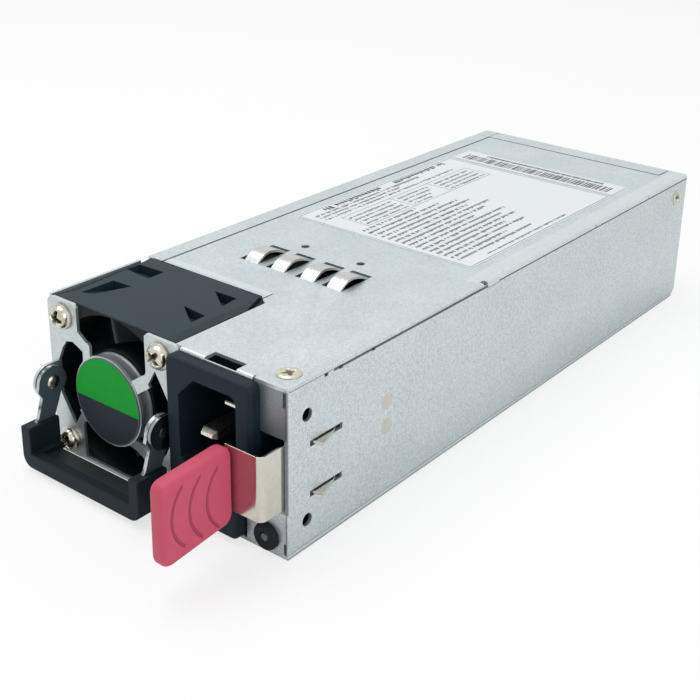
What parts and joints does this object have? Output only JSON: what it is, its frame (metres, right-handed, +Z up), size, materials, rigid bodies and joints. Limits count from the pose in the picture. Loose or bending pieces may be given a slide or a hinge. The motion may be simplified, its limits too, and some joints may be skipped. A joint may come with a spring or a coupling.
{
  "type": "hot swap server power supply",
  "caption": "Slim steel server power module with a front fan behind a stamped guard, a swing-up bail, a mains inlet, a push-to-release latch and a card edge at the rear.",
  "frame": {"origin": "centre of the case underside, the face that slides in the bay", "axes": "+Z up, +Y from the front face to the card edge at the rear, +X to the right seen from the front"},
  "size_m": [0.0756, 0.2227, 0.0419],
  "materials": {
    "galvanised_steel": "satin galvanised sheet",
    "spring_steel": "bright spring steel",
    "screw_steel": "zinc plated",
    "rivet_steel": "flush, ground off",
    "fan_plastic": "glass filled moulding",
    "yoke_steel": "plain pressed steel",
    "ferrite": "sintered ferrite",
    "copper_wire": "enamelled copper",
    "coil_tape": "yellow tape over a coil",
    "badge": "printed disc, green over dark grey",
    "bail_paint": "dark grey paint on steel strap",
    "grip_plastic": "moulded grip",
    "inlet_plastic": "moulded inlet",
    "pin_brass": "nickel plated",
    "tab_plastic": "red moulding",
    "clear_lens": "clear light pipe",
    "label": "white film",
    "board_green": "solder mask",
    "gilt": "gilt contacts",
    "film_black": "insulating film",
    "can_aluminium": "drawn cans",
    "sink_aluminium": "extruded",
    "film_yellow": "moulded box",
    "lead_sleeve": "insulated wire"
  },
  "bodies": {
    "case": {"chassis": "galvanised_steel", "top_cover": "galvanised_steel", "fan_guard": "galvanised_steel", "latch_root": "spring_steel", "latch_shim": "spring_steel", "cover_screw": "screw_steel", "side_screw": "screw_steel", "fan_screws": "screw_steel", "board_screws": "screw_steel", "handle_rivets": "screw_steel", "board_posts": "screw_steel", "latch_rivets": "rivet_steel", "fan_frame": "fan_plastic", "fan_bearings": "yoke_steel", "fan_stator": "yoke_steel", "line_choke_core": "ferrite", "pfc_choke_core": "ferrite", "transformer_core": "ferrite", "fan_coils": "copper_wire", "line_choke_winding": "copper_wire", "pfc_choke_winding": "copper_wire", "output_busbars": "copper_wire", "transformer_winding": "coil_tape", "guard_badge": "badge", "inlet_housing": "inlet_plastic", "led_grommet": "inlet_plastic", "pins_line_neutral": "pin_brass", "pin_earth": "pin_brass", "led_lens": "clear_lens", "rating_label": "label", "barcode_label": "label", "main_board": "board_green", "control_board": "board_green", "edge_contacts": "gilt", "insulator_sheet": "film_black", "bulk_cap_sleeve": "film_black", "power_transistors": "film_black", "control_chips": "film_black", "bulk_capacitor": "can_aluminium", "output_capacitors": "can_aluminium", "heatsink": "sink_aluminium", "film_capacitor": "film_yellow", "inlet_leads": "lead_sleeve", "fan_lead": "lead_sleeve"},
    "fan_rotor": {"fan_impeller": "fan_plastic", "rotor_yoke": "yoke_steel", "rotor_magnet": "ferrite", "fan_shaft": "yoke_steel"},
    "handle": {"handle_bail": "bail_paint", "handle_grip": "grip_plastic"},
    "latch": {"latch_spring": "spring_steel", "latch_tab": "tab_plastic"}
  },
  "joints": [
    {"name": "fan_spin", "type": "hinge", "parent": "case", "child": "fan_rotor", "pos_m": [-0.0156, -0.0805, 0.02], "axis": [0, 1, 0], "continuous": true},
    {"name": "handle_swing", "type": "hinge", "parent": "case", "child": "handle", "pos_m": [-0.0156, -0.0957, 0.02], "axis": [-1, 0, 0], "range_deg": [0, 100]},
    {"name": "latch_press", "type": "hinge", "parent": "case", "child": "latch", "pos_m": [0.03535, -0.0625, 0.02], "axis": [0, 0, -1], "range_deg": [0, 7], "stiffness_Nm_per_rad": 3}
  ]
}
